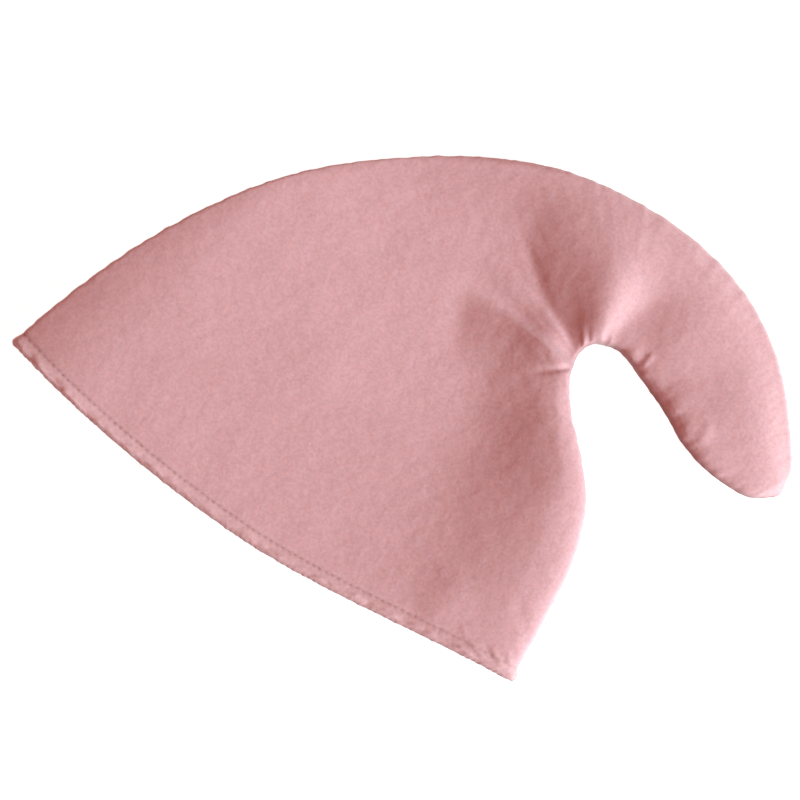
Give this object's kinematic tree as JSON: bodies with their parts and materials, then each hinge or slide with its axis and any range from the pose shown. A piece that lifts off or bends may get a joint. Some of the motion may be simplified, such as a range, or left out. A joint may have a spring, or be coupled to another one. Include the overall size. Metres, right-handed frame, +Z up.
{
  "type": "elf hat",
  "caption": "Soft felt elf hat lying on its side: sewn panels that taper to a curled, drooping peak, with gathers at the notch and a turned, topstitched hem round the open mouth.",
  "frame": {"origin": "middle of the hat's outline as it lies on its side, on the table it rests on", "axes": "+X along the mouth from the back corner to the front corner and the peak's end, +Y from the mouth up to the crown, +Z up from the table"},
  "size_m": [0.357, 0.2474, 0.0362],
  "materials": {
    "felt": "matt napped felt, dusty pink",
    "thread": "spun sewing thread in the colour of the felt"
  },
  "bodies": {
    "root": {"upper_panel": "felt", "lower_panel": "felt", "hem_band": "felt"}
  },
  "joints": []
}
